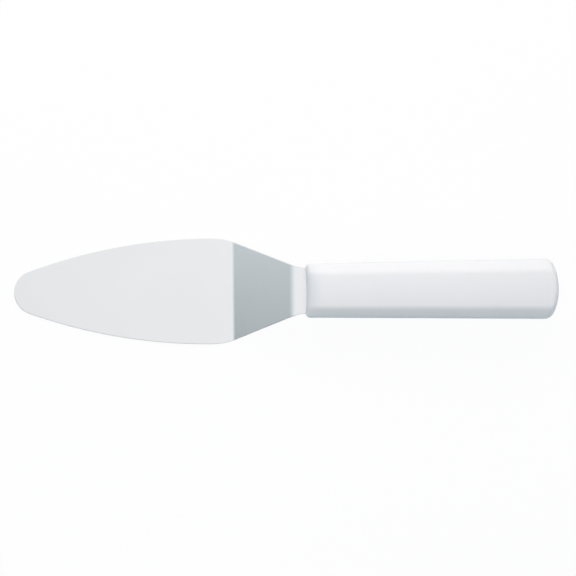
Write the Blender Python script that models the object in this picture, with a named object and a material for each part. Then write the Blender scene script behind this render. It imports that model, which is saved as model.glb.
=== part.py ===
"""A pie server: a cranked stainless steel blade whose tang is moulded into a white plastic handle.

The blade, its crank, its neck and the tang are one sheet: a flat blank that is pressed to two bends. The
handle is moulded round the tang, and its plastic runs through the tang's holes as plugs, which lock it.
Metres. +X runs from the blade's tip to the handle's butt and +Z is up. The blade's flat lies on Z = 0, and
the origin is under the middle of the overall length.
"""

import math

import bmesh
import bpy
from mathutils import Matrix, Vector

# The pressed sheet, seen from the side: the radii are on the inside of each bend
FLAT_LENGTH = 0.1057
CRANK_RUN = 0.0277
CRANK_RISE = 0.020
NECK_LENGTH = 0.0062
SHEET_THICKNESS = 0.0012
LOWER_BEND_RADIUS = 0.003
UPPER_BEND_RADIUS = 0.0055

# The blank's outline: the setbacks are from each bend's middle to where the straight edges would meet
BLADE_WIDTH = 0.0508
NOSE_RADIUS = 0.0107
HEEL_RADIUS = 0.035
HEEL_SETBACK = 0.0056
NECK_SETBACK = 0.0041
NECK_RADIUS = 0.009
NECK_WIDTH = 0.022
EDGE_ROUND = 0.0003

# The tang, inside the handle
SHOULDER_DEPTH = 0.006
SHOULDER_RADIUS = 0.002
TANG_WIDTH = 0.014
TANG_CORNER_RADIUS = 0.003
TANG_END_COVER = 0.036
ANCHOR_HOLES = 3
ANCHOR_WEB = 0.004
ANCHOR_END_MARGIN = 0.009

# The handle
HANDLE_LENGTH = 0.1195
HANDLE_LIP = 0.0018
HANDLE_BUTT_WIDTH = 0.0286
HANDLE_FRONT_THICKNESS = 0.0160
HANDLE_BUTT_THICKNESS = 0.0180
HANDLE_CROWN = 0.0015
HANDLE_BEVEL_WIDTH = 0.0052
HANDLE_BEVEL_DROP = 0.0029
HANDLE_FACE_EDGE_RADIUS = 0.0055
HANDLE_SIDE_EDGE_RADIUS = 0.003
FRONT_FACE_HEIGHT = 0.0046
FRONT_ROUND_LENGTH = 0.0095
FRONT_CORNER_RADIUS = 0.0022
FRONT_HOLLOW = 0.0008
FRONT_HOLLOW_REACH = 0.012
BUTT_RADIUS = 0.031
BUTT_EDGE_RADIUS = 0.0024
BUTT_CORNER_RADIUS = 0.0033
BUTT_BLEND = 0.020

# Fits: the gap left where plastic meets steel, how far a cutter runs past what it cuts, and a weld
MOULD_GAP = 0.0003
OVERRUN = 0.004
WELD_DISTANCE = 0.000003

# The turn below which two faces are taken as one flat face
FLAT_ENOUGH = math.radians(0.1)

# How finely round stretches are divided
NOSE_STEPS = 18
SIDE_STEPS = 18
FILLET_STEPS = 8
BEND_STEPS = 8
HOLE_STEPS = 24
FACE_STEPS = 4
SECTION_STEPS = 5
END_STEPS = 8
BODY_STEPS = 6
EDGE_STEPS = 1

# How much larger than life the flat outlines are drawn
DRAWN_SCALE = 1000

# The way the sheet runs
ALONG = Vector((1, 0, 0))

# Where the handle and the tang lie, worked out from the sizes above
HANDLE_FRONT = CRANK_RUN + NECK_LENGTH
HANDLE_FRONT_WIDTH = NECK_WIDTH + 2 * HANDLE_LIP
TANG_LEVEL = CRANK_RISE + SHEET_THICKNESS / 2
TANG_END = HANDLE_FRONT + HANDLE_LENGTH - TANG_END_COVER
SHOULDER_START = HANDLE_FRONT + SHOULDER_DEPTH
ANCHOR_RADIUS = TANG_WIDTH / 2 - ANCHOR_WEB
MIDDLE = (HANDLE_FRONT + HANDLE_LENGTH - FLAT_LENGTH) / 2

# The middle of the sheet, as stretches from the tip: each has its length and how far it turns upward
CRANK_ANGLE = math.atan2(CRANK_RISE, CRANK_RUN)
LOWER_RADIUS = LOWER_BEND_RADIUS + SHEET_THICKNESS / 2
UPPER_RADIUS = UPPER_BEND_RADIUS + SHEET_THICKNESS / 2
LOWER_TANGENT = LOWER_RADIUS * math.tan(CRANK_ANGLE / 2)
UPPER_TANGENT = UPPER_RADIUS * math.tan(CRANK_ANGLE / 2)
STRETCHES = [
    (FLAT_LENGTH - LOWER_TANGENT, 0),
    (LOWER_RADIUS * CRANK_ANGLE, CRANK_ANGLE),
    (math.hypot(CRANK_RUN, CRANK_RISE) - LOWER_TANGENT - UPPER_TANGENT, 0),
    (UPPER_RADIUS * CRANK_ANGLE, -CRANK_ANGLE),
    (TANG_END - CRANK_RUN - UPPER_TANGENT, 0),
]

# The flat blank keeps the tang where it is and reaches further out at the tip, by what the bends take up
BLANK_TIP = TANG_END - sum(length for length, turn in STRETCHES)
LOWER_BEND_START = BLANK_TIP + STRETCHES[0][0]
UPPER_BEND_START = LOWER_BEND_START + STRETCHES[1][0] + STRETCHES[2][0]
BENDS = [(LOWER_BEND_START, STRETCHES[1][0]), (UPPER_BEND_START, STRETCHES[3][0])]


def arc(centre, radius, start, end, steps):
    """Points on a circle from one angle to another, in degrees, both ends included."""
    angles = [math.radians(start + (end - start) * i / steps) for i in range(steps + 1)]
    return [(centre[0] + radius * math.cos(a), centre[1] + radius * math.sin(a)) for a in angles]


def rounded(corners, steps):
    """A line through (x, y, radius) corners, each one turned on an arc that meets both of its sides."""
    line = [corners[0][:2]]
    for before, corner, after in zip(corners, corners[1:], corners[2:]):
        point = Vector(corner[:2])
        arriving = (point - Vector(before[:2])).normalized()
        leaving = (Vector(after[:2]) - point).normalized()
        turn = arriving.angle_signed(leaving)
        start = point - arriving * corner[2] * math.tan(abs(turn) / 2)
        centre = start + Vector((arriving.y, -arriving.x)) * math.copysign(corner[2], turn)
        first = math.degrees(math.atan2(start.y - centre.y, start.x - centre.x))
        line += arc(centre, corner[2], first, first - math.degrees(turn), steps)
    return line + [corners[-1][:2]]


def both_sides(half):
    """A closed outline from its +Y half, which starts and ends on the X axis."""
    return half + [(x, -y) for x, y in half[-2:0:-1]]


def life_size_mesh(drawing):
    """A mesh of an enlarged drawing, brought down to its real size, welded and facing outward.

    The triangles that fill its flat faces are joined to whole faces.
    """
    bpy.context.scene.collection.objects.link(drawing)
    shape = drawing.evaluated_get(bpy.context.evaluated_depsgraph_get())
    mesh = bpy.data.meshes.new_from_object(shape)
    bpy.data.objects.remove(drawing)
    work = bmesh.new()
    work.from_mesh(mesh)
    bmesh.ops.transform(work, matrix=Matrix.Scale(1 / DRAWN_SCALE, 4), verts=work.verts)
    bmesh.ops.remove_doubles(work, verts=work.verts, dist=WELD_DISTANCE)
    bmesh.ops.recalc_face_normals(work, faces=work.faces)
    bmesh.ops.dissolve_limit(work, angle_limit=FLAT_ENOUGH, verts=work.verts, edges=work.edges)
    work.to_mesh(mesh)
    work.free()
    return mesh


def plate(name, outline, holes, thickness, edge_round):
    """A flat plate with its middle on Z = 0 and its edges rounded over, the holes' edges too.

    It is drawn enlarged, because an outline is only filled exactly where its points lie far apart.
    """
    curve = bpy.data.curves.new(name, "CURVE")
    curve.dimensions = "2D"
    curve.fill_mode = "BOTH"
    curve.extrude = (thickness / 2 - edge_round) * DRAWN_SCALE
    curve.bevel_depth = edge_round * DRAWN_SCALE
    curve.bevel_resolution = EDGE_STEPS
    curve.offset = -edge_round * DRAWN_SCALE
    for loop in [outline] + [hole[::-1] for hole in holes]:
        spline = curve.splines.new("POLY")
        spline.points.add(len(loop) - 1)
        spline.use_cyclic_u = True
        for point, (x, y) in zip(spline.points, loop):
            point.co = (x * DRAWN_SCALE, y * DRAWN_SCALE, 0, 1)
    return bpy.data.objects.new(name, life_size_mesh(bpy.data.objects.new(name, curve)))


def anchor_holes(radius):
    """The tang's holes as loops, evenly spaced between its shoulder and its end.

    Each is turned a little further than the last, so that no three corners of theirs stand in one line.
    """
    first = SHOULDER_START + (NECK_WIDTH - TANG_WIDTH) / 2 + ANCHOR_END_MARGIN
    last = TANG_END - ANCHOR_END_MARGIN
    pitch = (last - first) / (ANCHOR_HOLES - 1)
    loops = []
    for i in range(ANCHOR_HOLES):
        turn = 360 / HOLE_STEPS * i / ANCHOR_HOLES
        loops.append(arc((first + pitch * i, 0), radius, turn, turn + 360, HOLE_STEPS)[:-1])
    return loops


def tang_corners(gap):
    """The +Y edge of the neck and tang inside the handle, held off by a gap, as corners for rounded()."""
    neck = NECK_WIDTH / 2 + gap
    tang = TANG_WIDTH / 2 + gap
    return [
        (SHOULDER_START + gap, neck, SHOULDER_RADIUS),
        (SHOULDER_START + gap + neck - tang, tang, SHOULDER_RADIUS),
        (TANG_END + gap, tang, TANG_CORNER_RADIUS),
        (TANG_END + gap, 0, 0),
    ]


def blank_edge():
    """The +Y edge of the whole blank, from the nose to the tang's end.

    A round nose runs into a long side arc, which is level at the blade's widest point. There the heel arc
    starts, and turns into the straight taper of the crank, which meets the neck on a hollow arc.
    """
    half_width = BLADE_WIDTH / 2
    lower, upper = [start + length / 2 for start, length in BENDS]
    heel = Vector((lower - HEEL_SETBACK, half_width))
    neck = Vector((upper + NECK_SETBACK, NECK_WIDTH / 2))
    taper = math.atan2(heel.y - neck.y, neck.x - heel.x)
    widest = heel.x - HEEL_RADIUS * math.tan(taper / 2)
    nose_centre = BLANK_TIP + NOSE_RADIUS
    reach = widest - nose_centre
    side_radius = (reach**2 + half_width**2 - NOSE_RADIUS**2) / (2 * (half_width - NOSE_RADIUS))
    side_centre = half_width - side_radius
    meeting = math.degrees(math.atan2(-side_centre, -reach))
    nose = arc((nose_centre, 0), NOSE_RADIUS, 180, meeting, NOSE_STEPS)
    side = arc((widest, side_centre), side_radius, meeting, 90, SIDE_STEPS)
    shank = [(widest, half_width, 0), (*heel, HEEL_RADIUS), (*neck, NECK_RADIUS)]
    return nose + side[1:-1] + rounded(shank + tang_corners(0), FILLET_STEPS)[1:]


def pressed(point):
    """Where the press puts a point of the flat blank, by following the sheet's stretches from the tip."""
    left = point.x - BLANK_TIP
    place = Vector((-FLAT_LENGTH, point.y, SHEET_THICKNESS / 2))
    heading = 0
    for length, turn in STRETCHES:
        gone = min(max(left, 0), length)
        half_swing = turn * gone / length / 2
        chord = gone * math.sin(half_swing) / half_swing if half_swing else gone
        heading += half_swing
        place += Vector((math.cos(heading), 0, math.sin(heading))) * chord
        heading += half_swing
        left -= gone
    return place + Vector((-math.sin(heading), 0, math.cos(heading))) * point.z


def make_blade():
    """The blade: a punched flat blank with rounded edges, scored across where it bends, then pressed."""
    holes = anchor_holes(ANCHOR_RADIUS)
    blade = plate("blade", both_sides(blank_edge()), holes, SHEET_THICKNESS, EDGE_ROUND)
    sheet = bmesh.new()
    sheet.from_mesh(blade.data)
    for start, length in BENDS:
        for i in range(BEND_STEPS + 1):
            geometry = sheet.verts[:] + sheet.edges[:] + sheet.faces[:]
            score = Vector((start + length * i / BEND_STEPS, 0, 0))
            bmesh.ops.bisect_plane(sheet, geom=geometry, dist=WELD_DISTANCE, plane_co=score, plane_no=ALONG)
    for corner in sheet.verts:
        corner.co = pressed(corner.co)
    sheet.to_mesh(blade.data)
    sheet.free()
    return blade


def smooth(share):
    """0 below 0, 1 above 1, and an even S between them."""
    share = min(max(share, 0), 1)
    return share * share * (3 - 2 * share)


def drawn_in(distance, reach, depth):
    """How far an elliptical end rounding draws the surface in, at a distance from the end."""
    share = max(0, 1 - distance / reach)
    return depth * (1 - math.sqrt(1 - share**2))


def full_section():
    """The handle's section where it is largest, as a ring of points.

    It is a rectangle with broad bevels and rounded edges, and its top and bottom swell to a low crown.
    """
    half_width = HANDLE_BUTT_WIDTH / 2
    shoulder = HANDLE_BUTT_THICKNESS / 2 - HANDLE_CROWN
    corners = [
        (0, shoulder, 0),
        (half_width - HANDLE_BEVEL_WIDTH, shoulder, HANDLE_FACE_EDGE_RADIUS),
        (half_width, shoulder - HANDLE_BEVEL_DROP, HANDLE_SIDE_EDGE_RADIUS),
        (half_width, 0, 0),
    ]
    turned = rounded(corners, SECTION_STEPS)[1:-1]
    face = [(turned[0][0] * i / FACE_STEPS, shoulder) for i in range(FACE_STEPS)]
    quarter = [(y, z + HANDLE_CROWN * (1 - (y / half_width) ** 2)) for y, z in face + turned]
    half = quarter + [(y, -z) for y, z in reversed(quarter)]
    return half + [(-y, z) for y, z in half[-2:0:-1]]


def handle_ring(section, station):
    """The handle's section at a distance from its front, as a ring of points.

    The body flares evenly to the butt, and each end's roundings draw the section in. The front is slightly
    hollow across and the butt is an arc, so the sections near them bend to those shapes.
    """
    flare = station / HANDLE_LENGTH
    from_butt = HANDLE_LENGTH - station
    body_width = HANDLE_FRONT_WIDTH * (1 - flare) + HANDLE_BUTT_WIDTH * flare
    body_thickness = HANDLE_FRONT_THICKNESS * (1 - flare) + HANDLE_BUTT_THICKNESS * flare
    front_drop = (HANDLE_FRONT_THICKNESS - FRONT_FACE_HEIGHT) / 2
    narrowing = drawn_in(station, FRONT_CORNER_RADIUS, FRONT_CORNER_RADIUS)
    narrowing += drawn_in(from_butt, BUTT_CORNER_RADIUS, BUTT_CORNER_RADIUS)
    thinning = drawn_in(station, FRONT_ROUND_LENGTH, front_drop)
    thinning += drawn_in(from_butt, BUTT_EDGE_RADIUS, BUTT_EDGE_RADIUS)
    width_share = (body_width - 2 * narrowing) / HANDLE_BUTT_WIDTH
    height_share = (body_thickness - 2 * thinning) / HANDLE_BUTT_THICKNESS
    hollow = FRONT_HOLLOW * (1 - smooth(station / FRONT_HOLLOW_REACH))
    bulge = smooth(1 - (from_butt - BUTT_CORNER_RADIUS) / BUTT_BLEND) / (2 * BUTT_RADIUS)
    drawn = [(y * width_share, z * height_share) for y, z in section]
    return [(station + hollow * (1 - (2 * y / body_width) ** 2) - bulge * y**2, y, z) for y, z in drawn]


def handle_stations():
    """Distances from the front: close together in the end roundings, evenly spaced between them."""
    quarter_turn = [math.radians(90) * i / END_STEPS for i in range(END_STEPS + 1)]
    butt_start = HANDLE_LENGTH - BUTT_CORNER_RADIUS
    step = (butt_start - FRONT_ROUND_LENGTH) / BODY_STEPS
    front = [FRONT_ROUND_LENGTH * (1 - math.cos(turn)) for turn in quarter_turn]
    body = [FRONT_ROUND_LENGTH + step * i for i in range(1, BODY_STEPS)]
    butt = [butt_start + BUTT_CORNER_RADIUS * math.sin(turn) for turn in quarter_turn]
    return front + body + butt


def close_end(loft, ring):
    """Closes an end ring with upright strips between its upper and lower points: it curves only in plan."""
    half_count = len(ring) // 2 + 1
    right = ring[:half_count]
    left = [ring[0]] + ring[: half_count - 2 : -1]
    for half in (right, left):
        for i in range(half_count // 2 - 1):
            loft.faces.new((half[i], half[i + 1], half[-2 - i], half[-1 - i]))


def make_handle():
    """The handle: a loft of rounded sections along the tang, with the tang's slot cut out of it.

    The slot's cutter has holes where the plugs stand, so the plugs stay part of the handle.
    """
    loft = bmesh.new()
    section = full_section()
    shapes = [handle_ring(section, station) for station in handle_stations()]
    rings = [[loft.verts.new(point) for point in shape] for shape in shapes]
    for ring, after in zip(rings, rings[1:]):
        for i in range(len(section)):
            following = (i + 1) % len(section)
            loft.faces.new((ring[i], ring[following], after[following], after[i]))
    close_end(loft, rings[0])
    close_end(loft, rings[-1])
    bmesh.ops.recalc_face_normals(loft, faces=loft.faces)
    mesh = bpy.data.meshes.new("handle")
    loft.to_mesh(mesh)
    loft.free()
    mesh.shade_smooth()
    mesh.set_sharp_from_angle(angle=math.radians(40))
    handle = bpy.data.objects.new("handle", mesh)
    handle.location = (HANDLE_FRONT, 0, TANG_LEVEL)
    mouth = HANDLE_FRONT - OVERRUN
    mouth_corners = [(mouth, 0, 0), (mouth, NECK_WIDTH / 2 + MOULD_GAP, 0)]
    edge = rounded(mouth_corners + tang_corners(MOULD_GAP), FILLET_STEPS)
    plugs = anchor_holes(ANCHOR_RADIUS - MOULD_GAP)
    slot = plate("tang_slot", both_sides(edge), plugs, SHEET_THICKNESS + 2 * MOULD_GAP, 0)
    slot.location.z = TANG_LEVEL
    cut = handle.modifiers.new("tang_slot", "BOOLEAN")
    cut.operation = "DIFFERENCE"
    cut.object = slot
    return handle, slot


def material(name, colour, metallic, roughness):
    """A plain surface: its colour is linear red, green and blue."""
    made = bpy.data.materials.new(name)
    made.use_nodes = True
    shader = made.node_tree.nodes["Principled BSDF"]
    shader.inputs["Base Color"].default_value = (*colour, 1)
    shader.inputs["Metallic"].default_value = metallic
    shader.inputs["Roughness"].default_value = roughness
    return made


def main():
    """Clears the scene, then builds the two pieces and puts them in place."""
    for old in list(bpy.data.objects):
        bpy.data.objects.remove(old)
    parts = bpy.data.collections.new("pie_server")
    cutters = bpy.data.collections.new("cutters")
    for collection in (parts, cutters):
        bpy.context.scene.collection.children.link(collection)
    origin = bpy.data.objects.new("under_the_middle", None)
    origin.location.x = -MIDDLE
    parts.objects.link(origin)
    blade = make_blade()
    handle, slot = make_handle()
    blade.data.materials.append(material("satin_stainless", (0.56, 0.58, 0.60), 1, 0.32))
    handle.data.materials.append(material("white_polypropylene", (0.80, 0.81, 0.83), 0, 0.38))
    for piece in (blade, handle):
        parts.objects.link(piece)
        piece.parent = origin
    cutters.objects.link(slot)
    slot.parent = origin
    slot.hide_render = True
    slot.display_type = "WIRE"


main()
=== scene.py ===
"""The looks of a pie server: a cranked stainless blade with its tang moulded into a white handle."""

import math

import bmesh
import bpy
from mathutils import Matrix, Vector


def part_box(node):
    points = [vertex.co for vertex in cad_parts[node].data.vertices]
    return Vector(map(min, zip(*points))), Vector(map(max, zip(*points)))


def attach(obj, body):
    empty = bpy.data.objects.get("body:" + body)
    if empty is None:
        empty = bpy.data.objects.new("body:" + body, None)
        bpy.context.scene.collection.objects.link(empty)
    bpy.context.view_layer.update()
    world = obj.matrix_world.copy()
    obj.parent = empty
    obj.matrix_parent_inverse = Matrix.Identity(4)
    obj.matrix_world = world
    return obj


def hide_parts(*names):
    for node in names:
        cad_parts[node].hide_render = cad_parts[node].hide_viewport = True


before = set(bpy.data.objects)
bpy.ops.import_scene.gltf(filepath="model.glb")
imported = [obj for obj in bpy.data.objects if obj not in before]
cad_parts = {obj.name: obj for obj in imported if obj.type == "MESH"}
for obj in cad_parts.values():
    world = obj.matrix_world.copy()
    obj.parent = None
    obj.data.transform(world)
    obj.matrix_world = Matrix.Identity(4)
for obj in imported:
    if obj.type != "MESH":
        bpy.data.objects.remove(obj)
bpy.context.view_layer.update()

# The blade
# One piece of 1.2 mm stainless sheet: the leaf-shaped flat, the crank, the neck and the tang in the handle.
# It is blanked to its outline, tumbled so that its edges are round, and pressed to two bends.
MM = 0.001

# The sheet seen from the side: the radii are on the inside of each bend
FLAT_LENGTH = 105.7 * MM
CRANK_RUN = 27.7 * MM
CRANK_RISE = 20 * MM
NECK_LENGTH = 6.2 * MM
SHEET_THICKNESS = 1.2 * MM
LOWER_BEND_RADIUS = 3 * MM
UPPER_BEND_RADIUS = 5.5 * MM

# Its outline: the setbacks are from each bend's middle to where the straight edges would meet
BLADE_WIDTH = 50.8 * MM
NOSE_RADIUS = 10.7 * MM
HEEL_RADIUS = 35 * MM
HEEL_SETBACK = 5.6 * MM
NECK_SETBACK = 4.1 * MM
NECK_RADIUS = 9 * MM
NECK_WIDTH = 22 * MM
EDGE_ROUND = 0.3 * MM

# The tang and the row of holes that locks it in the plastic
SHOULDER_DEPTH = 6 * MM
SHOULDER_RADIUS = 2 * MM
TANG_WIDTH = 14 * MM
TANG_CORNER_RADIUS = 3 * MM
HOLE_COUNT = 3
HOLE_RADIUS = 3 * MM
HOLE_END_MARGIN = 9 * MM
PUNCH_THICKNESSES = 4

# How finely the blade is drawn
HOLE_SIDES = 40
ROUNDING_STEPS = 3
OUTLINE_STEPS = 48
FILLET_STEPS = 20
BEND_STEPS = 16
WELD_DISTANCE = 0.003 * MM
DRAWN_SCALE = 1000
FLAT_ENOUGH = math.radians(0.1)
BLADE_SHARP_ANGLE = math.radians(50)
LARGE_FACE_WEIGHT = 100

handle_front = CRANK_RUN + NECK_LENGTH
tang_level = CRANK_RISE + SHEET_THICKNESS / 2
blade_low, blade_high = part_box("blade")
lower_bend_x = blade_low.x + FLAT_LENGTH
tang_end = blade_high.x - lower_bend_x
shoulder_start = handle_front + SHOULDER_DEPTH
crank_angle = math.atan2(CRANK_RISE, CRANK_RUN)
lower_radius = LOWER_BEND_RADIUS + SHEET_THICKNESS / 2
upper_radius = UPPER_BEND_RADIUS + SHEET_THICKNESS / 2
lower_tangent = lower_radius * math.tan(crank_angle / 2)
upper_tangent = upper_radius * math.tan(crank_angle / 2)
lower_arc = lower_radius * crank_angle
upper_arc = upper_radius * crank_angle
slope_length = math.hypot(CRANK_RUN, CRANK_RISE) - lower_tangent - upper_tangent

# The flat blank keeps the tang where it is, so its tip lies further out by what the bends take up
upper_bend_end = CRANK_RUN + upper_tangent
upper_bend_start = upper_bend_end - upper_arc
lower_bend_end = upper_bend_start - slope_length
lower_bend_start = lower_bend_end - lower_arc
blank_tip = lower_bend_start - FLAT_LENGTH + lower_tangent


def arc(centre, radius, start, end, steps):
    """Points on a circle from one angle to another, in degrees, both ends included."""
    angles = [math.radians(start + (end - start) * i / steps) for i in range(steps + 1)]
    return [(centre[0] + radius * math.cos(a), centre[1] + radius * math.sin(a)) for a in angles]


def rounded(corners, steps):
    """A line through (x, y, radius) corners, each one turned on an arc that meets both of its sides."""
    line = [corners[0][:2]]
    for before, corner, after in zip(corners, corners[1:], corners[2:]):
        point = Vector(corner[:2])
        arriving = (point - Vector(before[:2])).normalized()
        leaving = (Vector(after[:2]) - point).normalized()
        turn = arriving.angle_signed(leaving)
        start = point - arriving * corner[2] * math.tan(abs(turn) / 2)
        centre = start + Vector((arriving.y, -arriving.x)) * math.copysign(corner[2], turn)
        first = math.degrees(math.atan2(start.y - centre.y, start.x - centre.x))
        line += arc(centre, corner[2], first, first - math.degrees(turn), steps)
    return line + [corners[-1][:2]]


def tang_corners(gap):
    """The +Y edge of the neck and tang inside the handle, held off by a gap, as corners for rounded()."""
    neck = NECK_WIDTH / 2 + gap
    tang = TANG_WIDTH / 2 + gap
    return [
        (shoulder_start + gap, neck, SHOULDER_RADIUS),
        (shoulder_start + gap + neck - tang, tang, SHOULDER_RADIUS),
        (tang_end + gap, tang, TANG_CORNER_RADIUS),
        (tang_end + gap, 0, 0),
    ]


def blank_edge():
    """The +Y edge of the blank: nose arc, side arc, heel arc, taper, hollow neck arc and tang."""
    half_width = BLADE_WIDTH / 2
    heel = Vector(((lower_bend_start + lower_bend_end) / 2 - HEEL_SETBACK, half_width))
    neck = Vector(((upper_bend_start + upper_bend_end) / 2 + NECK_SETBACK, NECK_WIDTH / 2))
    taper = math.atan2(heel.y - neck.y, neck.x - heel.x)
    widest = heel.x - HEEL_RADIUS * math.tan(taper / 2)
    nose_centre = blank_tip + NOSE_RADIUS
    reach = widest - nose_centre
    side_radius = (reach**2 + half_width**2 - NOSE_RADIUS**2) / (2 * (half_width - NOSE_RADIUS))
    side_centre = half_width - side_radius
    meeting = math.degrees(math.atan2(-side_centre, -reach))
    nose = arc((nose_centre, 0), NOSE_RADIUS, 180, meeting, OUTLINE_STEPS)
    side = arc((widest, side_centre), side_radius, meeting, 90, OUTLINE_STEPS)
    shank = [(widest, half_width, 0), (*heel, HEEL_RADIUS), (*neck, NECK_RADIUS)]
    return nose + side[1:-1] + rounded(shank + tang_corners(0), FILLET_STEPS)[1:]


def add_object(name, data):
    """A new object with this mesh, curve, light or camera, linked into the scene."""
    made = bpy.data.objects.new(name, data)
    bpy.context.scene.collection.objects.link(made)
    return made


def closed_line(name, points):
    """A curve with one closed line through its (x, y) points."""
    curve = bpy.data.curves.new(name, "CURVE")
    line = curve.splines.new("POLY")
    line.points.add(len(points) - 1)
    line.use_cyclic_u = True
    for point, (x, y) in zip(line.points, points):
        point.co = (x, y, 0, 1)
    return curve


def plate(name, half_outline, thickness, edge_round):
    """A flat plate, the same on both sides of the X axis, with its middle on Z = 0 and its edges rounded.

    It is drawn enlarged, because an outline is only filled exactly where its points lie far apart.
    """
    outline = half_outline + [(x, -y) for x, y in half_outline[-2:0:-1]]
    curve = closed_line(name, [(x * DRAWN_SCALE, y * DRAWN_SCALE) for x, y in outline])
    curve.dimensions = "2D"
    curve.fill_mode = "BOTH"
    curve.extrude = (thickness / 2 - edge_round) * DRAWN_SCALE
    curve.bevel_depth = edge_round * DRAWN_SCALE
    curve.bevel_resolution = ROUNDING_STEPS
    curve.offset = -edge_round * DRAWN_SCALE
    drawing = add_object(name, curve)
    shape = drawing.evaluated_get(bpy.context.evaluated_depsgraph_get())
    mesh = bpy.data.meshes.new_from_object(shape)
    bpy.data.objects.remove(drawing)
    sheet = bmesh.new()
    sheet.from_mesh(mesh)
    bmesh.ops.transform(sheet, matrix=Matrix.Scale(1 / DRAWN_SCALE, 4), verts=sheet.verts)
    bmesh.ops.remove_doubles(sheet, verts=sheet.verts, dist=WELD_DISTANCE)
    bmesh.ops.recalc_face_normals(sheet, faces=sheet.faces)
    bmesh.ops.dissolve_limit(sheet, angle_limit=FLAT_ENOUGH, verts=sheet.verts, edges=sheet.edges)
    sheet.to_mesh(mesh)
    sheet.free()
    return add_object(name, mesh)


def add_node(tree, kind, settings=None, links=None):
    """Adds a node with its settings. An input takes a value, another node's first output, or a socket."""
    made = tree.nodes.new(kind)
    for name, value in (settings or {}).items():
        setattr(made, name, value)
    for name, source in (links or {}).items():
        if isinstance(source, bpy.types.Node):
            source = source.outputs[0]
        if isinstance(source, bpy.types.NodeSocket):
            tree.links.new(source, made.inputs[name])
        else:
            made.inputs[name].default_value = source
    return made


def linear(colour):
    """A #rrggbb colour as the linear red, green, blue and alpha that a shader takes."""
    shares = [int(colour[i : i + 2], 16) / 255 for i in (1, 3, 5)]
    return (*[c / 12.92 if c <= 0.04045 else ((c + 0.055) / 1.055) ** 2.4 for c in shares], 1)


def new_tree(name, inputs):
    """A node tree that takes a piece's geometry and the named inputs, and gives geometry back."""
    kinds = {float: "NodeSocketFloat", int: "NodeSocketInt", Vector: "NodeSocketVector"}
    tree = bpy.data.node_groups.new(name, "GeometryNodeTree")
    tree.interface.new_socket("Geometry", in_out="OUTPUT", socket_type="NodeSocketGeometry")
    tree.interface.new_socket("Geometry", in_out="INPUT", socket_type="NodeSocketGeometry")
    for label, value in inputs.items():
        kind = kinds.get(type(value), "NodeSocketMaterial")
        tree.interface.new_socket(label, in_out="INPUT", socket_type=kind)
    return tree


def use_tree(piece, tree, inputs):
    """Puts a tree on a piece with the values of its named inputs."""
    modifier = piece.modifiers.new(tree.name, "NODES")
    modifier.node_group = tree
    for socket in tree.interface.items_tree:
        if socket.in_out == "INPUT" and socket.name in inputs:
            modifier[socket.identifier] = inputs[socket.name]


def shaped(piece):
    """Turns a piece into the plain mesh that its modifiers make of it, with no empty material slots."""
    bpy.context.view_layer.update()
    shape = piece.evaluated_get(bpy.context.evaluated_depsgraph_get())
    mesh = bpy.data.meshes.new_from_object(shape)
    for i in reversed(range(len(mesh.materials))):
        if mesh.materials[i] is None:
            mesh.materials.pop(index=i)
    name = piece.name
    bpy.data.objects.remove(piece)
    return add_object(name, mesh)


# Satin stainless steel, belt-ground along its length. The eye gets an even, slightly blue-grey sheen with
# soft reflections, in which the grind only shows close up. Real grit lines lie about 0.05 mm apart, and
# they are drawn at 0.25 mm so that they show at all.
satin_stainless = bpy.data.materials.new("belt_ground_stainless")
satin_stainless.use_nodes = True
steel = satin_stainless.node_tree
STEEL_DULL = "#edeef0"
STEEL_PALE = "#f1f2f4"
STEEL_SMOOTH = 0.35
STEEL_ROUGH = 0.43
GRIND_SPACING = 0.25 * MM
GRIND_LENGTH = 18 * MM
GRIND_DEPTH = 0.004 * MM
GRIND_OCTAVES = 3
CLOUD_SIZE = 30 * MM
CLOUD_OCTAVES = 2

# A Mix node's colours have the same names as its other kinds of values, so they are found by number
COLOUR_A = 6
COLOUR_B = 7
MIXED_COLOUR = 2

place = add_node(steel, "ShaderNodeTexCoord").outputs["Object"]
lengthwise = (1 / GRIND_LENGTH, 1 / GRIND_SPACING, 1 / GRIND_LENGTH)
stretched = add_node(steel, "ShaderNodeMapping", None, {"Vector": place, "Scale": lengthwise})
grind = add_node(
    steel, "ShaderNodeTexNoise", None, {"Vector": stretched, "Scale": 1, "Detail": GRIND_OCTAVES}
)
clouds = add_node(
    steel, "ShaderNodeTexNoise", None, {"Vector": place, "Scale": 1 / CLOUD_SIZE, "Detail": CLOUD_OCTAVES}
)
grind_gloss = add_node(
    steel, "ShaderNodeMapRange", None, {"Value": grind, "To Min": STEEL_SMOOTH, "To Max": STEEL_ROUGH}
)
tint = add_node(
    steel,
    "ShaderNodeMix",
    {"data_type": "RGBA"},
    {"Factor": clouds, COLOUR_A: linear(STEEL_DULL), COLOUR_B: linear(STEEL_PALE)},
)
relief = add_node(steel, "ShaderNodeBump", None, {"Height": grind, "Distance": GRIND_DEPTH, "Strength": 1})
steel_shader = steel.nodes["Principled BSDF"]
steel_shader.inputs["Metallic"].default_value = 1
steel.links.new(tint.outputs[MIXED_COLOUR], steel_shader.inputs["Base Color"])
steel.links.new(grind_gloss.outputs[0], steel_shader.inputs["Roughness"])
steel.links.new(relief.outputs[0], steel_shader.inputs["Normal"])

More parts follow.
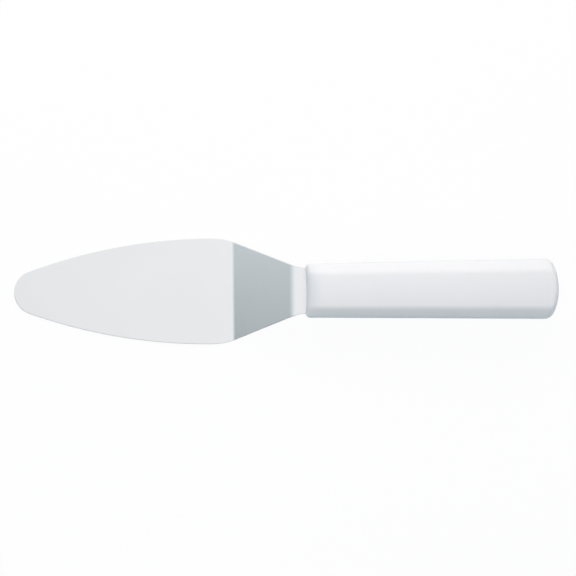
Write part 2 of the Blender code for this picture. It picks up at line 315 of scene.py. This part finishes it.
# The flat blank, scored across where it bends, so that the bends are round
blade = plate("pie_blade", blank_edge(), SHEET_THICKNESS, EDGE_ROUND)
sheet = bmesh.new()
sheet.from_mesh(blade.data)
along = Vector((1, 0, 0))
for start, end in ((lower_bend_start, lower_bend_end), (upper_bend_start, upper_bend_end)):
    for i in range(BEND_STEPS + 1):
        geometry = sheet.verts[:] + sheet.edges[:] + sheet.faces[:]
        score = Vector((start + (end - start) * i / BEND_STEPS, 0, 0))
        bmesh.ops.bisect_plane(sheet, geom=geometry, dist=WELD_DISTANCE, plane_co=score, plane_no=along)
sheet.to_mesh(blade.data)
sheet.free()

# The punch: a tree that makes a row of round holes through a plate. It gives no material, because the press
# gives the blade its own, and the handle's slot, which is punched too, is only a cutter.
hole_row = {
    "Hole Count": HOLE_COUNT,
    "Hole Radius": HOLE_RADIUS,
    "Punch Length": PUNCH_THICKNESSES * SHEET_THICKNESS,
    "First Hole": Vector((shoulder_start + (NECK_WIDTH - TANG_WIDTH) / 2 + HOLE_END_MARGIN, 0, 0)),
    "Last Hole": Vector((tang_end - HOLE_END_MARGIN, 0, 0)),
}
punch_row = new_tree("punch_row", hole_row)
given = add_node(punch_row, "NodeGroupInput").outputs
punch = add_node(
    punch_row,
    "GeometryNodeMeshCylinder",
    None,
    {"Vertices": HOLE_SIDES, "Radius": given["Hole Radius"], "Depth": given["Punch Length"]},
)
pitch = add_node(
    punch_row,
    "ShaderNodeVectorMath",
    {"operation": "SUBTRACT"},
    {0: given["Last Hole"], 1: given["First Hole"]},
)
holes_after_first = add_node(
    punch_row, "ShaderNodeMath", {"operation": "SUBTRACT"}, {0: given["Hole Count"], 1: 1}
)
pitch_share = add_node(punch_row, "ShaderNodeMath", {"operation": "DIVIDE"}, {0: 1, 1: holes_after_first})
step = add_node(
    punch_row, "ShaderNodeVectorMath", {"operation": "SCALE"}, {0: pitch, "Scale": pitch_share}
)
punch_places = add_node(
    punch_row,
    "GeometryNodeMeshLine",
    None,
    {"Count": given["Hole Count"], "Start Location": given["First Hole"], "Offset": step},
)
punches = add_node(
    punch_row, "GeometryNodeInstanceOnPoints", None, {"Points": punch_places, "Instance": punch}
)
solid_punches = add_node(punch_row, "GeometryNodeRealizeInstances", None, {"Geometry": punches})
punched = add_node(
    punch_row,
    "GeometryNodeMeshBoolean",
    {"operation": "DIFFERENCE"},
    {"Mesh 1": given["Geometry"], "Mesh 2": solid_punches},
)
add_node(punch_row, "NodeGroupOutput", None, {0: punched})

# The press: a tree that lays the flat sheet along the line that its middle takes, seen from the side
press_tool = {
    "Flat Length": FLAT_LENGTH,
    "Crank Run": CRANK_RUN,
    "Crank Rise": CRANK_RISE,
    "Lower Bend Radius": lower_radius,
    "Upper Bend Radius": upper_radius,
    "Blank Tip": blank_tip,
    "Tang End": tang_end,
    "Lower Bend": Vector((lower_bend_x, 0, SHEET_THICKNESS / 2)),
    "Steel": satin_stainless,
}
press = new_tree("press", press_tool)
given = add_node(press, "NodeGroupInput").outputs
far_left = add_node(press, "ShaderNodeMath", {"operation": "MULTIPLY"}, {0: given["Flat Length"], 1: -1})
line_corners = [
    add_node(press, "ShaderNodeCombineXYZ", None, {"X": far_left}),
    add_node(press, "ShaderNodeCombineXYZ"),
    add_node(press, "ShaderNodeCombineXYZ", None, {"X": given["Crank Run"], "Z": given["Crank Rise"]}),
    add_node(press, "ShaderNodeCombineXYZ", None, {"X": given["Tang End"], "Z": given["Crank Rise"]}),
]
order = add_node(press, "GeometryNodeInputIndex")
corner_place = add_node(press, "GeometryNodeIndexSwitch", {"data_type": "VECTOR"}, {"Index": order})
bend_radius = add_node(press, "GeometryNodeIndexSwitch", {"data_type": "FLOAT"}, {"Index": order})
for switch in (corner_place, bend_radius):
    for corner in line_corners[2:]:
        switch.index_switch_items.new()
for i, corner in enumerate(line_corners):
    press.links.new(corner.outputs[0], corner_place.inputs[i + 1])
press.links.new(given["Lower Bend Radius"], bend_radius.inputs[2])
press.links.new(given["Upper Bend Radius"], bend_radius.inputs[3])
four_points = add_node(press, "GeometryNodeMeshLine", None, {"Count": len(line_corners)})
side_line = add_node(press, "GeometryNodeMeshToCurve", None, {"Mesh": four_points})
angular_line = add_node(
    press, "GeometryNodeSetPosition", None, {"Geometry": side_line, "Position": corner_place}
)
bent_line = add_node(
    press,
    "GeometryNodeFilletCurve",
    {"mode": "POLY"},
    {"Curve": angular_line, "Count": 2 * BEND_STEPS, "Radius": bend_radius},
)
blank_place = add_node(press, "GeometryNodeInputPosition")
blank_axes = add_node(press, "ShaderNodeSeparateXYZ", None, {0: blank_place}).outputs
from_tip = add_node(
    press, "ShaderNodeMath", {"operation": "SUBTRACT"}, {0: blank_axes["X"], 1: given["Blank Tip"]}
)
followed = add_node(
    press, "GeometryNodeSampleCurve", {"mode": "LENGTH"}, {"Curves": bent_line, "Length": from_tip}
).outputs
upward = add_node(
    press, "ShaderNodeVectorMath", {"operation": "CROSS_PRODUCT"}, {0: followed["Tangent"], 1: (0, 1, 0)}
)
off_middle = add_node(
    press, "ShaderNodeVectorMath", {"operation": "SCALE"}, {0: upward, "Scale": blank_axes["Z"]}
)
bent_place = add_node(
    press, "ShaderNodeVectorMath", {"operation": "ADD"}, {0: followed["Position"], 1: off_middle}
)
across = add_node(press, "ShaderNodeCombineXYZ", None, {"Y": blank_axes["Y"]})
wide_place = add_node(press, "ShaderNodeVectorMath", {"operation": "ADD"}, {0: bent_place, 1: across})
final_place = add_node(
    press, "ShaderNodeVectorMath", {"operation": "ADD"}, {0: wide_place, 1: given["Lower Bend"]}
)
pressed = add_node(
    press, "GeometryNodeSetPosition", None, {"Geometry": given["Geometry"], "Position": final_place}
)
smooth_sheet = add_node(press, "GeometryNodeSetShadeSmooth", None, {"Geometry": pressed})
whole_sheet = add_node(press, "GeometryNodeRealizeInstances", None, {"Geometry": smooth_sheet})
steel_sheet = add_node(
    press, "GeometryNodeSetMaterial", None, {"Geometry": whole_sheet, "Material": given["Steel"]}
)
add_node(press, "NodeGroupOutput", None, {0: steel_sheet})

use_tree(blade, punch_row, hole_row)
use_tree(blade, press, press_tool)
blade = shaped(blade)
blade.data.set_sharp_from_angle(angle=BLADE_SHARP_ANGLE)
weighting = blade.modifiers.new("flats_stay_flat", "WEIGHTED_NORMAL")
weighting.keep_sharp = True
weighting.weight = LARGE_FACE_WEIGHT
blade = shaped(blade)
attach(blade, "root")
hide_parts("blade")

# The handle
# White polypropylene, injection-moulded round the tang, with plugs of its own plastic in the tang's holes.
# It flares to the butt, has broad bevels along its edges, and shows the mould's parting line at mid height.

# The body: the lip is how far it stands out past the neck on each side
HANDLE_LIP = 1.8 * MM
HANDLE_BUTT_WIDTH = 28.6 * MM
HANDLE_FRONT_THICKNESS = 16 * MM
HANDLE_BUTT_THICKNESS = 18 * MM
HANDLE_CROWN = 1.5 * MM
BEVEL_WIDTH = 5.2 * MM
BEVEL_DROP = 2.9 * MM
FACE_EDGE_RADIUS = 5.5 * MM
SIDE_EDGE_RADIUS = 3 * MM
PARTING_WIDTH = 0.3 * MM
PARTING_DEPTH = 0.06 * MM

# Both ends: the front is rounded and slightly hollow, and the butt is bowed
FRONT_FACE_HEIGHT = 4.6 * MM
FRONT_ROUND_LENGTH = 9.5 * MM
FRONT_CORNER_RADIUS = 2.2 * MM
FRONT_HOLLOW = 0.8 * MM
FRONT_HOLLOW_REACH = 12 * MM
BUTT_RADIUS = 31 * MM
BUTT_EDGE_RADIUS = 2.4 * MM
BUTT_CORNER_RADIUS = 3.3 * MM
BUTT_BLEND = 20 * MM

# How finely the handle is drawn, and how the rows that close its ends are told from the rest
FACE_STEPS = 12
SECTION_STEPS = 10
HANDLE_ROWS = 110
END_ROWS = 2
HALF_ROW = 0.5
END_INSET_SHARE = 0.02
HANDLE_SHARP_ANGLE = math.radians(35)

# The plastic is moulded tight on the steel, so the slot only stands off by enough to keep the two apart
MOULD_FIT = 0.03 * MM

handle_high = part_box("handle")[1]

# Moulded polypropylene, off white, with the fine matt grain of a spark-eroded mould. The eye gets a soft,
# slightly milky surface with a broad dull sheen. The grain is real at about 0.2 mm.
moulded_plastic = bpy.data.materials.new("moulded_polypropylene")
moulded_plastic.use_nodes = True
plastic = moulded_plastic.node_tree
PLASTIC_DULL = "#f2f1f5"
PLASTIC_PALE = "#f5f3f6"
PLASTIC_SMOOTH = 0.34
PLASTIC_ROUGH = 0.42
PLASTIC_IOR = 1.49
MILKY_SHARE = 0.12
MILKY_COLOUR_SHARES = (1, 0.95, 0.9)
MILKY_DEPTH = 1.5 * MM
GRAIN_SIZE = 0.2 * MM
GRAIN_DEPTH = 0.006 * MM
GRAIN_OCTAVES = 2
FLOW_SIZE = 40 * MM
FLOW_OCTAVES = 1
place = add_node(plastic, "ShaderNodeTexCoord").outputs["Object"]
grain = add_node(
    plastic, "ShaderNodeTexNoise", None, {"Vector": place, "Scale": 1 / GRAIN_SIZE, "Detail": GRAIN_OCTAVES}
)
flow = add_node(
    plastic, "ShaderNodeTexNoise", None, {"Vector": place, "Scale": 1 / FLOW_SIZE, "Detail": FLOW_OCTAVES}
)
grain_gloss = add_node(
    plastic, "ShaderNodeMapRange", None, {"Value": grain, "To Min": PLASTIC_SMOOTH, "To Max": PLASTIC_ROUGH}
)
whiteness = add_node(
    plastic,
    "ShaderNodeMix",
    {"data_type": "RGBA"},
    {"Factor": flow, COLOUR_A: linear(PLASTIC_DULL), COLOUR_B: linear(PLASTIC_PALE)},
)
grain_relief = add_node(
    plastic, "ShaderNodeBump", None, {"Height": grain, "Distance": GRAIN_DEPTH, "Strength": 1}
)
plastic_shader = plastic.nodes["Principled BSDF"]
plastic_shader.inputs["IOR"].default_value = PLASTIC_IOR
plastic_shader.inputs["Subsurface Weight"].default_value = MILKY_SHARE
plastic_shader.inputs["Subsurface Radius"].default_value = MILKY_COLOUR_SHARES
plastic_shader.inputs["Subsurface Scale"].default_value = MILKY_DEPTH
plastic.links.new(whiteness.outputs[MIXED_COLOUR], plastic_shader.inputs["Base Color"])
plastic.links.new(grain_gloss.outputs[0], plastic_shader.inputs["Roughness"])
plastic.links.new(grain_relief.outputs[0], plastic_shader.inputs["Normal"])


def full_section():
    """The handle's section where it is largest, as a ring of points, with the parting line in its sides."""
    half_width = HANDLE_BUTT_WIDTH / 2
    shoulder = HANDLE_BUTT_THICKNESS / 2 - HANDLE_CROWN
    corners = [
        (0, shoulder, 0),
        (half_width - BEVEL_WIDTH, shoulder, FACE_EDGE_RADIUS),
        (half_width, shoulder - BEVEL_DROP, SIDE_EDGE_RADIUS),
        (half_width, 0, 0),
    ]
    turned = rounded(corners, SECTION_STEPS)[1:-1]
    face = [(turned[0][0] * i / FACE_STEPS, shoulder) for i in range(FACE_STEPS)]
    crowned = [(y, z + HANDLE_CROWN * (1 - (y / half_width) ** 2)) for y, z in face + turned]
    quarter = crowned + [(half_width, PARTING_WIDTH / 2)]
    half = quarter + [(half_width - PARTING_DEPTH, 0)] + [(y, -z) for y, z in reversed(quarter)]
    return half + [(-y, z) for y, z in half[-2:0:-1]]


def add_steps(tree, known, steps):
    """Adds a node for each step, (result, kind, settings, links), and keeps it under its result's name.

    A link that is a name takes what is known by that name.
    """
    for result, kind, settings, links in steps:
        found = {place: known[part] if isinstance(part, str) else part for place, part in links.items()}
        known[result] = add_node(tree, kind, settings, found)


# An end's rounding: how far an elliptical edge draws the surface in, at a distance from that end
rounding = bpy.data.node_groups.new("end_rounding", "GeometryNodeTree")
rounding.interface.new_socket("Drawn In", in_out="OUTPUT", socket_type="NodeSocketFloat")
for label in ("Distance", "Reach", "Depth"):
    rounding.interface.new_socket(label, in_out="INPUT", socket_type="NodeSocketFloat")
given = add_node(rounding, "NodeGroupInput").outputs
sizes = {"distance": given["Distance"], "reach": given["Reach"], "depth": given["Depth"]}
rounding_steps = [
    ("gone share", "ShaderNodeMath", {"operation": "DIVIDE"}, {0: "distance", 1: "reach"}),
    ("share left", "ShaderNodeMath", {"operation": "SUBTRACT"}, {0: 1, 1: "gone share"}),
    ("kept share", "ShaderNodeMath", {"operation": "MAXIMUM"}, {0: "share left", 1: 0}),
    ("kept squared", "ShaderNodeMath", {"operation": "MULTIPLY"}, {0: "kept share", 1: "kept share"}),
    ("rest", "ShaderNodeMath", {"operation": "SUBTRACT"}, {0: 1, 1: "kept squared"}),
    ("standing share", "ShaderNodeMath", {"operation": "SQRT"}, {0: "rest"}),
    ("drop share", "ShaderNodeMath", {"operation": "SUBTRACT"}, {0: 1, 1: "standing share"}),
    ("drawn in", "ShaderNodeMath", {"operation": "MULTIPLY"}, {0: "drop share", 1: "depth"}),
]
add_steps(rounding, sizes, rounding_steps)
add_node(rounding, "NodeGroupOutput", None, {0: sizes["drawn in"]})

# The mould: a tree that draws the section along the handle's length and shapes both of its ends
grip_mould = {
    "Length": handle_high.x - lower_bend_x - handle_front,
    "Front Width": NECK_WIDTH + 2 * HANDLE_LIP,
    "Butt Width": HANDLE_BUTT_WIDTH,
    "Front Thickness": HANDLE_FRONT_THICKNESS,
    "Butt Thickness": HANDLE_BUTT_THICKNESS,
    "Front Drop": (HANDLE_FRONT_THICKNESS - FRONT_FACE_HEIGHT) / 2,
    "Front Round Length": FRONT_ROUND_LENGTH,
    "Front Corner Radius": FRONT_CORNER_RADIUS,
    "Front Hollow": FRONT_HOLLOW,
    "Front Hollow Reach": FRONT_HOLLOW_REACH,
    "Butt Radius": BUTT_RADIUS,
    "Butt Edge Radius": BUTT_EDGE_RADIUS,
    "Butt Corner Radius": BUTT_CORNER_RADIUS,
    "Butt Blend": BUTT_BLEND,
    "Half Parting Width": PARTING_WIDTH / 2,
    "Parting Depth": PARTING_DEPTH,
    "Rows": HANDLE_ROWS,
    "Front Place": Vector((lower_bend_x + handle_front, 0, tang_level)),
    "Plastic": moulded_plastic,
}
mould = new_tree("grip_mould", grip_mould)
given = add_node(mould, "NodeGroupInput").outputs
sizes = {socket.name: socket for socket in given}
tube_steps = [
    ("last row", "ShaderNodeMath", {"operation": "SUBTRACT"}, {0: "Rows", 1: 1}),
    ("line end", "ShaderNodeCombineXYZ", None, {"X": "last row"}),
    ("line", "GeometryNodeCurvePrimitiveLine", None, {"End": "line end"}),
    ("rows", "GeometryNodeResampleCurve", None, {"Curve": "line", "Count": "Rows"}),
    ("tube", "GeometryNodeCurveToMesh", None, {"Curve": "rows", "Profile Curve": "Geometry"}),
    ("tube place", "GeometryNodeInputPosition", None, {}),
    ("tube axes", "ShaderNodeSeparateXYZ", None, {0: "tube place"}),
]
add_steps(mould, sizes, tube_steps)
tube_axes = sizes["tube axes"].outputs
sizes.update({"row": tube_axes["X"], "full y": tube_axes["Y"], "full z": tube_axes["Z"]})

# The rows crowd together at both ends, where the roundings are, as even steps round half a circle do. The
# outermost row of each end is drawn in to the middle height and the next one to the parting line's edges,
# which closes the end, and both are held a touch narrower so that the end's corners don't fold.
station_steps = [
    ("last ring", "ShaderNodeMath", {"operation": "SUBTRACT"}, {0: "last row", 1: END_ROWS}),
    (
        "half circle",
        "ShaderNodeMapRange",
        None,
        {"Value": "row", "From Min": END_ROWS, "From Max": "last ring", "To Max": math.pi},
    ),
    ("swing", "ShaderNodeMath", {"operation": "COSINE"}, {0: "half circle"}),
    (
        "station",
        "ShaderNodeMapRange",
        None,
        {"Value": "swing", "From Min": 1, "From Max": -1, "To Max": "Length"},
    ),
    ("from butt", "ShaderNodeMath", {"operation": "SUBTRACT"}, {0: "Length", 1: "station"}),
    ("rows left", "ShaderNodeMath", {"operation": "SUBTRACT"}, {0: "last row", 1: "row"}),
    ("from end", "ShaderNodeMath", {"operation": "MINIMUM"}, {0: "row", 1: "rows left"}),
    (
        "on end face",
        "ShaderNodeMath",
        {"operation": "LESS_THAN"},
        {0: "from end", 1: END_ROWS - HALF_ROW},
    ),
    (
        "on body",
        "ShaderNodeMath",
        {"operation": "GREATER_THAN"},
        {0: "from end", 1: END_ROWS - HALF_ROW},
    ),
    ("by parting line", "ShaderNodeMath", {"operation": "COMPARE"}, {0: "from end", 1: 1, 2: HALF_ROW}),
    ("at front", "ShaderNodeMath", {"operation": "COMPARE"}, {0: "row", 1: 0, 2: HALF_ROW}),
    ("at butt", "ShaderNodeMath", {"operation": "COMPARE"}, {0: "rows left", 1: 0, 2: HALF_ROW}),
]
add_steps(mould, sizes, station_steps)
roundings = {
    "front narrowing": ("station", "Front Corner Radius", "Front Corner Radius"),
    "butt narrowing": ("from butt", "Butt Corner Radius", "Butt Corner Radius"),
    "front thinning": ("station", "Front Round Length", "Front Drop"),
    "butt thinning": ("from butt", "Butt Edge Radius", "Butt Edge Radius"),
}
for result, measures in roundings.items():
    rounding_step = (result, "GeometryNodeGroup", {"node_tree": rounding}, dict(enumerate(measures)))
    add_steps(mould, sizes, [rounding_step])
place_steps = [
    ("flare", "ShaderNodeMath", {"operation": "DIVIDE"}, {0: "station", 1: "Length"}),
    ("width gain", "ShaderNodeMath", {"operation": "SUBTRACT"}, {0: "Butt Width", 1: "Front Width"}),
    (
        "body width",
        "ShaderNodeMath",
        {"operation": "MULTIPLY_ADD"},
        {0: "flare", 1: "width gain", 2: "Front Width"},
    ),
    ("narrowing", "ShaderNodeMath", {"operation": "ADD"}, {0: "front narrowing", 1: "butt narrowing"}),
    (
        "drawn width",
        "ShaderNodeMath",
        {"operation": "MULTIPLY_ADD"},
        {0: "narrowing", 1: -2, 2: "body width"},
    ),
    ("width share", "ShaderNodeMath", {"operation": "DIVIDE"}, {0: "drawn width", 1: "Butt Width"}),
    ("section y", "ShaderNodeMath", {"operation": "MULTIPLY"}, {0: "full y", 1: "width share"}),
    (
        "kept share",
        "ShaderNodeMath",
        {"operation": "MULTIPLY_ADD"},
        {0: "on end face", 1: -END_INSET_SHARE, 2: 1},
    ),
    ("y", "ShaderNodeMath", {"operation": "MULTIPLY"}, {0: "section y", 1: "kept share"}),
    (
        "thickness gain",
        "ShaderNodeMath",
        {"operation": "SUBTRACT"},
        {0: "Butt Thickness", 1: "Front Thickness"},
    ),
    (
        "body thickness",
        "ShaderNodeMath",
        {"operation": "MULTIPLY_ADD"},
        {0: "flare", 1: "thickness gain", 2: "Front Thickness"},
    ),
    ("thinning", "ShaderNodeMath", {"operation": "ADD"}, {0: "front thinning", 1: "butt thinning"}),
    (
        "drawn thickness",
        "ShaderNodeMath",
        {"operation": "MULTIPLY_ADD"},
        {0: "thinning", 1: -2, 2: "body thickness"},
    ),
    (
        "height share",
        "ShaderNodeMath",
        {"operation": "DIVIDE"},
        {0: "drawn thickness", 1: "Butt Thickness"},
    ),
    ("open z", "ShaderNodeMath", {"operation": "MULTIPLY"}, {0: "full z", 1: "height share"}),
    (
        "parting limit",
        "ShaderNodeMath",
        {"operation": "MULTIPLY"},
        {0: "by parting line", 1: "Half Parting Width"},
    ),
    (
        "height limit",
        "ShaderNodeMath",
        {"operation": "MULTIPLY_ADD"},
        {0: "on body", 1: "Butt Thickness", 2: "parting limit"},
    ),
    ("depth limit", "ShaderNodeMath", {"operation": "MULTIPLY"}, {0: "height limit", 1: -1}),
    ("topped z", "ShaderNodeMath", {"operation": "MINIMUM"}, {0: "open z", 1: "height limit"}),
    ("z", "ShaderNodeMath", {"operation": "MAXIMUM"}, {0: "topped z", 1: "depth limit"}),
    ("off middle", "ShaderNodeMath", {"operation": "DIVIDE"}, {0: "y", 1: "body width"}),
    ("across share", "ShaderNodeMath", {"operation": "MULTIPLY"}, {0: "off middle", 1: 2}),
    ("across squared", "ShaderNodeMath", {"operation": "POWER"}, {0: "across share", 1: 2}),
    ("hollow share", "ShaderNodeMath", {"operation": "SUBTRACT"}, {0: 1, 1: "across squared"}),
    (
        "hollow",
        "ShaderNodeMapRange",
        {"interpolation_type": "SMOOTHSTEP"},
        {"Value": "station", "From Max": "Front Hollow Reach", "To Min": "Front Hollow", "To Max": 0},
    ),
    (
        "hollowed",
        "ShaderNodeMath",
        {"operation": "MULTIPLY_ADD"},
        {0: "hollow share", 1: "hollow", 2: "station"},
    ),
    ("blend start", "ShaderNodeMath", {"operation": "ADD"}, {0: "Butt Corner Radius", 1: "Butt Blend"}),
    (
        "bulge share",
        "ShaderNodeMapRange",
        {"interpolation_type": "SMOOTHSTEP"},
        {"Value": "from butt", "From Min": "blend start", "From Max": "Butt Corner Radius"},
    ),
    ("y squared", "ShaderNodeMath", {"operation": "MULTIPLY"}, {0: "y", 1: "y"}),
    ("butt circle", "ShaderNodeMath", {"operation": "MULTIPLY"}, {0: "Butt Radius", 1: 2}),
    ("full bulge", "ShaderNodeMath", {"operation": "DIVIDE"}, {0: "y squared", 1: "butt circle"}),
    ("bulge", "ShaderNodeMath", {"operation": "MULTIPLY"}, {0: "full bulge", 1: "bulge share"}),
    ("bulged", "ShaderNodeMath", {"operation": "SUBTRACT"}, {0: "hollowed", 1: "bulge"}),
    ("sink share", "ShaderNodeMath", {"operation": "SUBTRACT"}, {0: "at front", 1: "at butt"}),
    ("sink", "ShaderNodeMath", {"operation": "MULTIPLY"}, {0: "sink share", 1: "Parting Depth"}),
    ("x", "ShaderNodeMath", {"operation": "ADD"}, {0: "bulged", 1: "sink"}),
    ("moulded place", "ShaderNodeCombineXYZ", None, {"X": "x", "Y": "y", "Z": "z"}),
    ("place", "ShaderNodeVectorMath", {"operation": "ADD"}, {0: "moulded place", 1: "Front Place"}),
    ("moulded", "GeometryNodeSetPosition", None, {"Geometry": "tube", "Position": "place"}),
    ("closed", "GeometryNodeMergeByDistance", None, {"Geometry": "moulded", "Distance": WELD_DISTANCE}),
    ("smooth grip", "GeometryNodeSetShadeSmooth", None, {"Geometry": "closed"}),
    ("whole grip", "GeometryNodeRealizeInstances", None, {"Geometry": "smooth grip"}),
    ("grip", "GeometryNodeSetMaterial", None, {"Geometry": "whole grip", "Material": "Plastic"}),
    ("output", "NodeGroupOutput", None, {0: "grip"}),
]
add_steps(mould, sizes, place_steps)

# The ring that the mould draws along the handle's length, and then the tang's slot, which is cut out of it
# with the plugs left standing
ring = closed_line("grip", full_section()[::-1])
ring.dimensions = "3D"
handle = add_object("grip", ring)
use_tree(handle, mould, grip_mould)
handle = shaped(handle)
mouth_corners = [(CRANK_RUN, 0, 0), (CRANK_RUN, NECK_WIDTH / 2 + MOULD_FIT, 0)]
slot_edge = rounded(mouth_corners + tang_corners(MOULD_FIT), FILLET_STEPS)
slot = plate("tang_slot", slot_edge, SHEET_THICKNESS + 2 * MOULD_FIT, 0)
use_tree(slot, punch_row, {**hole_row, "Hole Radius": HOLE_RADIUS - MOULD_FIT})
slot = shaped(slot)
slot.data.transform(Matrix.Translation((lower_bend_x, 0, tang_level)))
cut = handle.modifiers.new("tang_slot", "BOOLEAN")
cut.operation = "DIFFERENCE"
cut.object = slot
handle = shaped(handle)
bpy.data.objects.remove(slot)
handle.data.set_sharp_from_angle(angle=HANDLE_SHARP_ANGLE)
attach(handle, "root")
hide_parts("handle")

# The floor
# A plain white studio table. Camera, glossy and clear rays see it white, with a faint shadow of the object.
# The light that it throws back up at the object is that of a pale cool sheet, as the handle's sides show.
FLOOR_RADIUS = 8000 * MM
FLOOR_SIDES = 96
BOUNCE_COLOUR = "#bac8cc"
SHADOW_SHARE = 0.06
PLAIN_WHITE = "#ffffff"


def seen_directly(tree):
    """A node that gives 1 to camera, glossy and clear rays, and 0 to all others."""
    ray = add_node(tree, "ShaderNodeLightPath").outputs
    seen = add_node(
        tree, "ShaderNodeMath", {"operation": "MAXIMUM"}, {0: ray["Is Camera Ray"], 1: ray["Is Glossy Ray"]}
    )
    return add_node(
        tree, "ShaderNodeMath", {"operation": "MAXIMUM"}, {0: seen, 1: ray["Is Transmission Ray"]}
    )


white_table = bpy.data.materials.new("white_table")
white_table.use_nodes = True
table_tree = white_table.node_tree
table_tree.nodes.remove(table_tree.nodes["Principled BSDF"])
direct = seen_directly(table_tree)
bounce = add_node(table_tree, "ShaderNodeBsdfDiffuse", None, {"Color": linear(BOUNCE_COLOUR)})
shaded_white = add_node(table_tree, "ShaderNodeBsdfDiffuse", None, {"Color": linear(PLAIN_WHITE)})
even_white = add_node(
    table_tree, "ShaderNodeEmission", None, {"Color": linear(PLAIN_WHITE), "Strength": 1}
)
shown = add_node(
    table_tree, "ShaderNodeMixShader", None, {0: SHADOW_SHARE, 1: even_white, 2: shaded_white}
)
table_surface = add_node(table_tree, "ShaderNodeMixShader", None, {0: direct, 1: bounce, 2: shown})
table_tree.links.new(table_surface.outputs[0], table_tree.nodes["Material Output"].inputs["Surface"])
disc = bmesh.new()
bmesh.ops.create_circle(disc, cap_ends=True, radius=FLOOR_RADIUS, segments=FLOOR_SIDES)
table_mesh = bpy.data.meshes.new("table")
disc.to_mesh(table_mesh)
disc.free()
table_mesh.materials.append(white_table)
table = add_object("table", table_mesh)
table.location.z = blade_low.z

# The light
# An even white room, one large soft box low beyond the +Y edge, and four upright cards: a pale one past the
# tip, which the crank mirrors, a small one past the butt, and darker ones off the -Y sides of the blade and
# the handle. Nothing mirrors the soft box, because from -Y it would turn the blade as white as the floor.
ROOM_COLOUR = "#fdfeff"
world = bpy.data.worlds.new("white_room")
world.use_nodes = True
bpy.context.scene.world = world
room = world.node_tree
room_colour = add_node(
    room,
    "ShaderNodeMix",
    {"data_type": "RGBA"},
    {"Factor": seen_directly(room), COLOUR_A: linear(ROOM_COLOUR), COLOUR_B: linear(PLAIN_WHITE)},
)
room.links.new(room_colour.outputs[MIXED_COLOUR], room.nodes["Background"].inputs["Color"])

# The soft box, with its power in watts
KEY_DISTANCE = 1250 * MM
KEY_ELEVATION = math.radians(34)
KEY_SIZE = 1100 * MM
KEY_POWER = 5.4
KEY_COLOUR = "#fff5e9"
key_data = bpy.data.lights.new("soft_box", "AREA")
key_data.shape = "SQUARE"
key_data.size = KEY_SIZE
key_data.energy = KEY_POWER
key_data.color = linear(KEY_COLOUR)[:3]
key = add_object("soft_box", key_data)
key_direction = Vector((0, math.cos(KEY_ELEVATION), math.sin(KEY_ELEVATION)))
key.location = key_direction * KEY_DISTANCE
key.rotation_mode = "QUATERNION"
key.rotation_quaternion = key_direction.to_track_quat("Z", "Y")
key.visible_camera = False
key.visible_glossy = False

# Each card's paint, the shade that glossy rays meet in its place, its width, height and distance from the
# middle in metres, and its direction from +X in degrees. The shade only shows in what mirrors the card. It
# stays out of light sampling, which would weaken it.
CARDS = {
    "tip_card": ("#c8d2d6", "#dfe9eb", 1.7, 1.8, 0.8, 180),
    "butt_card": ("#acb8ba", "#d0d0d0", 0.4, 0.3, 0.3, 0),
    "blade_side_card": ("#98aaae", "#707476", 0.62, 0.4, 0.28, 231),
    "handle_side_card": ("#7898a0", "#84898c", 0.28, 0.18, 0.22, 288),
}
for name, (paint, shade, width, height, distance, direction) in CARDS.items():
    card_surface = bpy.data.materials.new(name)
    card_surface.use_nodes = True
    card_surface.cycles.emission_sampling = "NONE"
    card_tree = card_surface.node_tree
    card_tree.nodes.remove(card_tree.nodes["Principled BSDF"])
    painted = add_node(card_tree, "ShaderNodeBsdfDiffuse", None, {"Color": linear(paint)})
    mirrored = add_node(card_tree, "ShaderNodeEmission", None, {"Color": linear(shade), "Strength": 1})
    ray = add_node(card_tree, "ShaderNodeLightPath").outputs
    card_face = add_node(
        card_tree, "ShaderNodeMixShader", None, {0: ray["Is Glossy Ray"], 1: painted, 2: mirrored}
    )
    card_tree.links.new(card_face.outputs[0], card_tree.nodes["Material Output"].inputs["Surface"])
    foot = [(distance, width / 2, 0), (distance, -width / 2, 0)]
    top = [(distance, -width / 2, height), (distance, width / 2, height)]
    card_mesh = bpy.data.meshes.new(name)
    card_mesh.from_pydata(foot + top, [], [(0, 1, 2, 3)])
    card_mesh.transform(Matrix.Rotation(math.radians(direction), 4, "Z"))
    card_mesh.materials.append(card_surface)
    card = add_object(name, card_mesh)
    card.visible_camera = False

# The camera
# It looks straight down at the object with a long lens, from where the outline matches the photograph's,
# which takes a small turn. The lens is in millimetres, as Blender has it.
CAMERA_HEIGHT = 1400 * MM
CAMERA_LENS = 182.07
CAMERA_X = 1.94 * MM
CAMERA_Y = 1.31 * MM
CAMERA_ROLL = math.radians(-0.45)
camera_data = bpy.data.cameras.new("camera")
camera_data.lens = CAMERA_LENS
camera = add_object("camera", camera_data)
camera.location = (CAMERA_X, CAMERA_Y, CAMERA_HEIGHT)
camera.rotation_euler.z = CAMERA_ROLL
bpy.context.scene.camera = camera
bpy.context.scene.view_settings.view_transform = "Standard"
